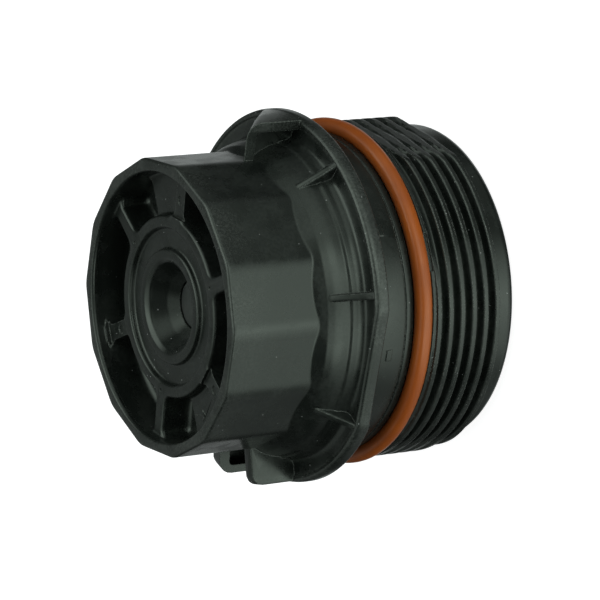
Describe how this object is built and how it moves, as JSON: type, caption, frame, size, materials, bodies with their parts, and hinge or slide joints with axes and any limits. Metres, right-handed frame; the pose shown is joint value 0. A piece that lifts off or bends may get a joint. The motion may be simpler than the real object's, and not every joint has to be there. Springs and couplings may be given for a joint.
{
  "type": "oil filter housing cap",
  "caption": "Threaded oil filter housing cap with a fluted wrench socket, seal ring, cartridge element, drain valve and bypass valve.",
  "frame": {"origin": "on the cap's axis, at the plane of the open threaded rim it stands on", "axes": "+Z along the cap's axis from the open rim towards the wrench socket; +X towards the thin web in the middle of the three on one side of the flange"},
  "size_m": [0.0828, 0.0828, 0.0692],
  "materials": {
    "black_nylon": "moulded, slightly mottled",
    "orange_rubber": "smooth moulded",
    "grey_acetal": "moulded",
    "black_rubber": "smooth moulded",
    "drain_spring_wire": "drawn wire",
    "grey_nylon": "moulded",
    "tube_nylon": "moulded",
    "pale_acetal": "moulded",
    "bypass_spring_wire": "drawn wire",
    "seat_steel": "pressed sheet",
    "filter_paper": "resin-treated pleated paper",
    "upper_cap_resin": "moulded",
    "lower_cap_resin": "moulded",
    "upper_lip_rubber": "smooth moulded",
    "lower_lip_rubber": "smooth moulded"
  },
  "bodies": {
    "cap": {"cap_body": "black_nylon", "main_seal_ring": "orange_rubber", "drain_valve_spring": "drain_spring_wire", "drain_valve_guide": "grey_nylon", "support_tube": "tube_nylon", "bypass_spring": "bypass_spring_wire", "bypass_spring_seat": "seat_steel", "element_media": "filter_paper", "element_upper_cap": "upper_cap_resin", "element_lower_cap": "lower_cap_resin", "element_upper_seal": "upper_lip_rubber", "element_lower_seal": "lower_lip_rubber"},
    "drain_valve": {"drain_valve": "grey_acetal", "drain_valve_seal": "black_rubber"},
    "bypass_valve": {"bypass_valve": "pale_acetal"}
  },
  "joints": [
    {"name": "drain_valve_slide", "type": "slide", "parent": "cap", "child": "drain_valve", "axis": [0, 0, -1], "range_m": [0, 0.004], "stiffness_N_per_m": 200, "springref_m": -0.005, "deforming": ["drain_valve_spring"]},
    {"name": "bypass_valve_slide", "type": "slide", "parent": "cap", "child": "bypass_valve", "axis": [0, 0, -1], "range_m": [0, 0.003], "stiffness_N_per_m": 400, "springref_m": -0.015, "deforming": ["bypass_spring"]}
  ]
}
